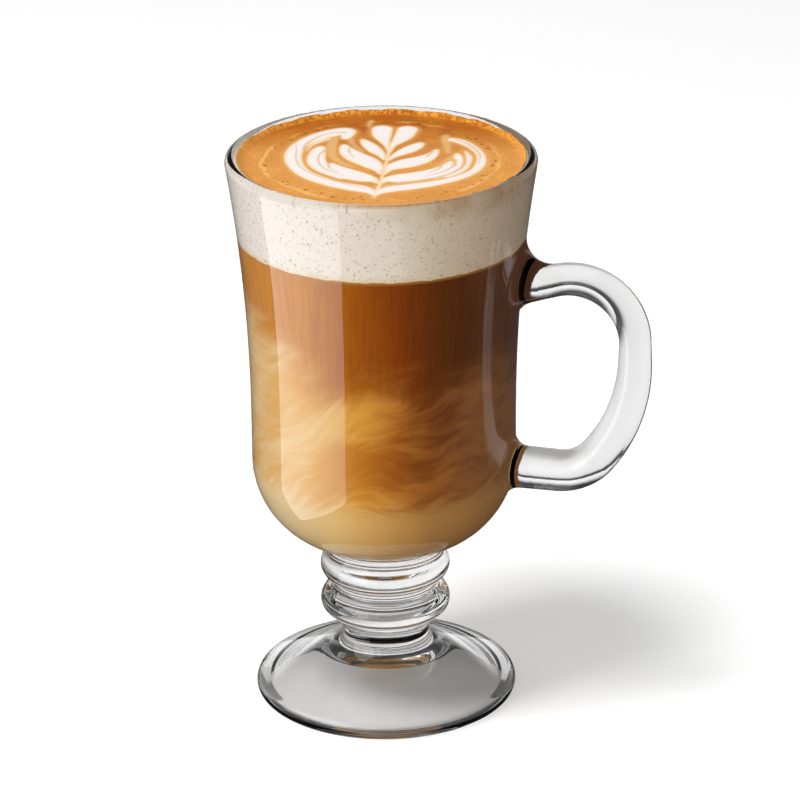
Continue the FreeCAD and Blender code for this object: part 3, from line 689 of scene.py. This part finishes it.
def round_grid(cells):
    """A square grid bent into a disc of radius 1, cells of one size all over."""
    step = np.linspace(-1, 1, cells + 1)
    across, along = np.meshgrid(step, step)
    wide = np.abs(across) > np.abs(along)
    safe_across = np.where(across == 0, 1, across)
    safe_along = np.where(along == 0, 1, along)
    radius = np.where(wide, across, along)
    angle = np.where(wide, math.pi / 4 * along / safe_across,
                     math.pi / 2 - math.pi / 4 * across / safe_along)
    angle = np.where((across == 0) & (along == 0), 0, angle)
    return radius * np.cos(angle), radius * np.sin(angle)


def grid_border(cells):
    """The numbers of a square grid's border points, in order round it."""
    side = cells + 1
    first = list(range(cells))
    second = [cells + row * side for row in range(cells)]
    third = [side * side - 1 - step for step in range(cells)]
    fourth = [cells * side - row * side for row in range(cells)]
    return first + second + third + fourth


def crema_height(out, angle, white):
    """The crema's top: level, a froth that climbs the glass, and the leaf a little proud."""
    ragged = 0.85 + 0.1 * np.sin(19 * angle + 0.4) + 0.05 * np.sin(47 * angle)
    edge = hollow_radius(CREMA_TOP)
    reach = np.clip((out - edge + CREMA_REACH) / CREMA_REACH, 0, 1)
    proud = np.clip(0.4 - white, 0, 1) * LEAF_RAISE
    return CREMA_TOP - 0.1 * MM + CREMA_CLIMB * ragged * reach ** 2.2 + proud


def crema_piece():
    """The crema: a finely divided disc with the leaf on it, and its rim let into the glass."""
    x, y = round_grid(CREMA_CELLS)
    edge = hollow_radius(CREMA_TOP + CREMA_CLIMB)
    x, y = x.ravel() * edge, y.ravel() * edge
    out, angle = np.hypot(x, y), np.arctan2(y, x)
    white, vein, blur = leaf_distances(x, y)
    z = crema_height(out, angle, white)
    points = [tuple(point) for point in np.stack([x, y, z], 1)]
    side = CREMA_CELLS + 1
    faces = [(row * side + column, row * side + column + 1, (row + 1) * side + column + 1,
              (row + 1) * side + column)
             for row in range(CREMA_CELLS) for column in range(CREMA_CELLS)]
    upper = grid_border(CREMA_CELLS)
    turn = angle[upper]
    for level in np.linspace(CREMA_TOP - 0.2 * MM, CREMA_FROM, 4):
        radius = hollow_radius(level)
        lower = list(range(len(points), len(points) + len(upper)))
        points += [(radius * math.cos(t), radius * math.sin(t), level) for t in turn]
        for here, there, below, beside in zip(upper, upper[1:] + upper[:1], lower,
                                              lower[1:] + lower[:1]):
            faces.append((here, below, beside, there))
        upper = lower
    faces.append(tuple(reversed(upper)))
    mesh = smooth_mesh("crema_top", points, faces, crease=60)
    spare = len(points) - len(white)
    for label, values in (("leaf_distance", white), ("vein_distance", vein),
                          ("blur_distance", blur)):
        attribute = mesh.attributes.new(label, "FLOAT", "POINT")
        padded = np.concatenate([values, np.full(spare, 9.0)]).astype(np.float32)
        attribute.data.foreach_set("value", padded)
    return place_piece("crema_top", mesh, crema_finish(), "crema", "crema")


# ---- build ----------------------------------------------------------------------------

def build_mug():
    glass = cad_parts["glass"]
    finish = glass_finish()
    for slot in glass.material_slots:
        slot.material = finish


def build_drink():
    milk = layer_mesh("milk_pool", flat(BOWL_FLOOR), flat(MARBLE_FROM), 24)
    place_piece("milk_pool", milk, brew_finish("milk"), "milk", "milk_layer")
    marble = layer_mesh("marbled_band", flat(MARBLE_FROM), marble_top, 20)
    place_piece("marbled_band", marble, brew_finish("marbled_coffee"), "marbled_coffee",
                "swirl_layer")
    coffee = layer_mesh("coffee_band", marble_top, foam_floor, 14)
    place_piece("coffee_band", coffee, brew_finish("coffee", line=True), "coffee",
                "coffee_layer")
    foam = layer_mesh("foam_band", foam_floor, flat(CREMA_FROM), 14)
    place_piece("foam_band", foam, foam_finish(), "milk_foam", "foam_layer")
    crema_piece()


# ---- stage ----------------------------------------------------------------------------

VIEW_TURN = math.radians(15)
VIEW_LIFT = math.radians(22.48)
VIEW_ROLL = math.radians(-0.48)
VIEW_DISTANCE = 1.105
VIEW_AIM = (4.14 * MM, 79.5 * MM)    # sideways in the view, and up the mug's axis
VIEW_LENS = 197.6
LIT_TURN = math.radians(-155)        # from the camera, the white backdrop's middle
LIT_DISTANCE = 0.25                  # metres from the mug to the floor's lit place
FLOOR_HALF = 6.0                     # metres from the middle to each side
FLOOR_TONE = 0.55                    # to matt surfaces, so that it bounces little light up
FLOOR_MIRRORED = 0.06                # to gloss, so that no pale veil lies on the coffee
FLOOR_GLOW = 0.2                     # to the camera
SKY_TONE = 0.34                      # the world's light on matt surfaces

# Each lamp's turn from the camera and lift in degrees, distance and side in metres, and watts.
LAMP_AIM = 90 * MM                   # up the mug's axis
PANEL = (-35, 16, 1.2, 1.0)
PANEL_WATTS = 4.2
FILL_WATTS = 7.0
KEY = (-58, 69, 1.3, 0.36)
KEY_WATTS = 12.5
CARD_TURN = math.radians(-44)
CARD_FACING = math.radians(-96)
CARD_LEVEL = 68 * MM
CARD_DISTANCE = 105 * MM
CARD_SIZE = 0.125
CARD_WATTS = 0.12


def facing(turn, lift):
    """The direction towards a viewer or lamp at an angle round the mug and above it."""
    return Vector((math.sin(turn) * math.cos(lift), -math.cos(turn) * math.cos(lift),
                   math.sin(lift)))


def place_camera():
    back = facing(VIEW_TURN, VIEW_LIFT)
    right = Vector((math.cos(VIEW_TURN), math.sin(VIEW_TURN), 0))
    up = back.cross(right)
    aim = right * VIEW_AIM[0] + Vector((0, 0, VIEW_AIM[1]))
    data = bpy.data.cameras.new("camera")
    data.lens = VIEW_LENS
    data.clip_end = 50
    camera = bpy.data.objects.new("camera", data)
    turn = Matrix((right, up, back)).transposed() @ Matrix.Rotation(VIEW_ROLL, 3, "Z")
    camera.matrix_world = Matrix.Translation(aim + back * VIEW_DISTANCE) @ turn.to_4x4()
    bpy.context.scene.collection.objects.link(camera)
    bpy.context.scene.camera = camera


def place_floor():
    """A wide pale floor that looks white and still keeps the mug's shadow."""
    mesh = bpy.data.meshes.new("floor")
    half = FLOOR_HALF
    corners = [(-half, -half, 0), (half, -half, 0), (half, half, 0), (-half, half, 0)]
    mesh.from_pydata(corners, [], [(0, 1, 2, 3)])
    material, tree = new_material("floor")
    vector, *_ = place_of(tree)
    lit_place = facing(VIEW_TURN + LIT_TURN, 0) * LIT_DISTANCE
    far = add_node(tree, "ShaderNodeVectorMath", {"operation": "DISTANCE"}, _0=vector,
                   _1=tuple(lit_place))
    # to rays through the glass the floor is a painted pool of light round the lit place, darkening
    # further off
    near = remap(tree, far.outputs["Value"], 0.25, 0.6, 0.97, 0.14)
    path = add_node(tree, "ShaderNodeLightPath")
    mirrored = math_node(tree, "MULTIPLY", path.outputs["Is Glossy Ray"], FLOOR_MIRRORED)
    through = math_node(tree, "MULTIPLY", path.outputs["Is Transmission Ray"], near)
    bounced = math_node(tree, "MULTIPLY", path.outputs["Is Diffuse Ray"], FLOOR_TONE)
    pale = math_node(tree, "MAXIMUM", math_node(tree, "MAXIMUM", mirrored, bounced),
                     math_node(tree, "MAXIMUM", path.outputs["Is Camera Ray"], through))
    tone = add_node(tree, "ShaderNodeCombineColor", _0=pale, _1=pale, _2=pale)
    matt = add_node(tree, "ShaderNodeBsdfDiffuse", Color=tone.outputs[0])
    lift = math_node(tree, "MULTIPLY", path.outputs["Is Camera Ray"], FLOOR_GLOW)
    white = add_node(tree, "ShaderNodeEmission", Strength=lift)
    shown = add_node(tree, "ShaderNodeAddShader", _0=matt.outputs[0], _1=white.outputs[0])
    finish_material(tree, shown.outputs[0])
    mesh.materials.append(material)
    floor = bpy.data.objects.new("floor", mesh)
    bpy.context.scene.collection.objects.link(floor)


def new_lamp(name, size, strength, location, away):
    """A square soft lamp whose back is turned away from what it lights."""
    data = bpy.data.lights.new(name, "AREA")
    data.shape = "RECTANGLE"
    data.size = size
    data.size_y = size
    data.energy = strength
    lamp = bpy.data.objects.new(name, data)
    lamp.location = location
    lamp.rotation_euler = away.to_track_quat("Z", "Y").to_euler()
    bpy.context.scene.collection.objects.link(lamp)
    return lamp


def place_lamp(name, turn, lift, distance, size, strength):
    """A lamp that looks at the mug from an angle measured from the camera's own."""
    away = facing(VIEW_TURN + math.radians(turn), math.radians(lift))
    return new_lamp(name, size, strength, away * distance + Vector((0, 0, LAMP_AIM)), away)


def place_lights():
    """A panel that the glass mirrors, its unmirrored fill, the key lamp and a small card."""
    panel = place_lamp("side_panel", *PANEL, PANEL_WATTS)
    panel.data.use_shadow = False
    fill = place_lamp("side_fill", *PANEL, FILL_WATTS)
    fill.visible_glossy = False
    fill.data.use_shadow = False
    key = place_lamp("key_box", *KEY, KEY_WATTS)
    key.visible_glossy = False
    card_place = Vector((0, 0, CARD_LEVEL)) + facing(VIEW_TURN + CARD_TURN, 0) * CARD_DISTANCE
    card = new_lamp("low_panel", CARD_SIZE, CARD_WATTS, card_place,
                    facing(VIEW_TURN + CARD_FACING, 0))
    card.visible_camera = False
    card.visible_diffuse = False
    card.visible_transmission = False


def place_surroundings():
    """White to the camera; to the glass, bright low down behind the mug and dark elsewhere."""
    world = bpy.data.worlds.new("studio")
    bpy.context.scene.world = world
    world.use_nodes = True
    tree = world.node_tree
    tree.nodes.clear()
    path = add_node(tree, "ShaderNodeLightPath")
    direction = add_node(tree, "ShaderNodeTexCoord").outputs["Generated"]
    height = add_node(tree, "ShaderNodeSeparateXYZ", _0=direction).outputs[2]
    backdrop = facing(VIEW_TURN + LIT_TURN, 0)
    behind = add_node(tree, "ShaderNodeVectorMath", {"operation": "DOT_PRODUCT"}, _0=direction,
                      _1=tuple(backdrop)).outputs["Value"]
    shade = math_node(tree, "MULTIPLY", remap(tree, height, 0.06, 0.3, 1.0, 0.05),
                      remap(tree, behind, -0.1, 0.7, 0.05, 1.0))
    seen = math_node(tree, "MAXIMUM", path.outputs["Is Glossy Ray"],
                     path.outputs["Is Transmission Ray"])
    dim = add_node(tree, "ShaderNodeMix", {"data_type": "FLOAT"}, _0=seen, _2=SKY_TONE,
                   _3=shade)
    level = add_node(tree, "ShaderNodeMix", {"data_type": "FLOAT"},
                     _0=path.outputs["Is Camera Ray"], _2=dim.outputs[0], _3=1.0)
    sky = add_node(tree, "ShaderNodeBackground", Color=(1.0, 1.0, 1.0, 1.0),
                   Strength=level.outputs[0])
    add_node(tree, "ShaderNodeOutputWorld", Surface=sky.outputs[0])


build_mug()
build_drink()
place_camera()
place_floor()
place_lights()
place_surroundings()
bpy.context.scene.view_settings.view_transform = "Standard"
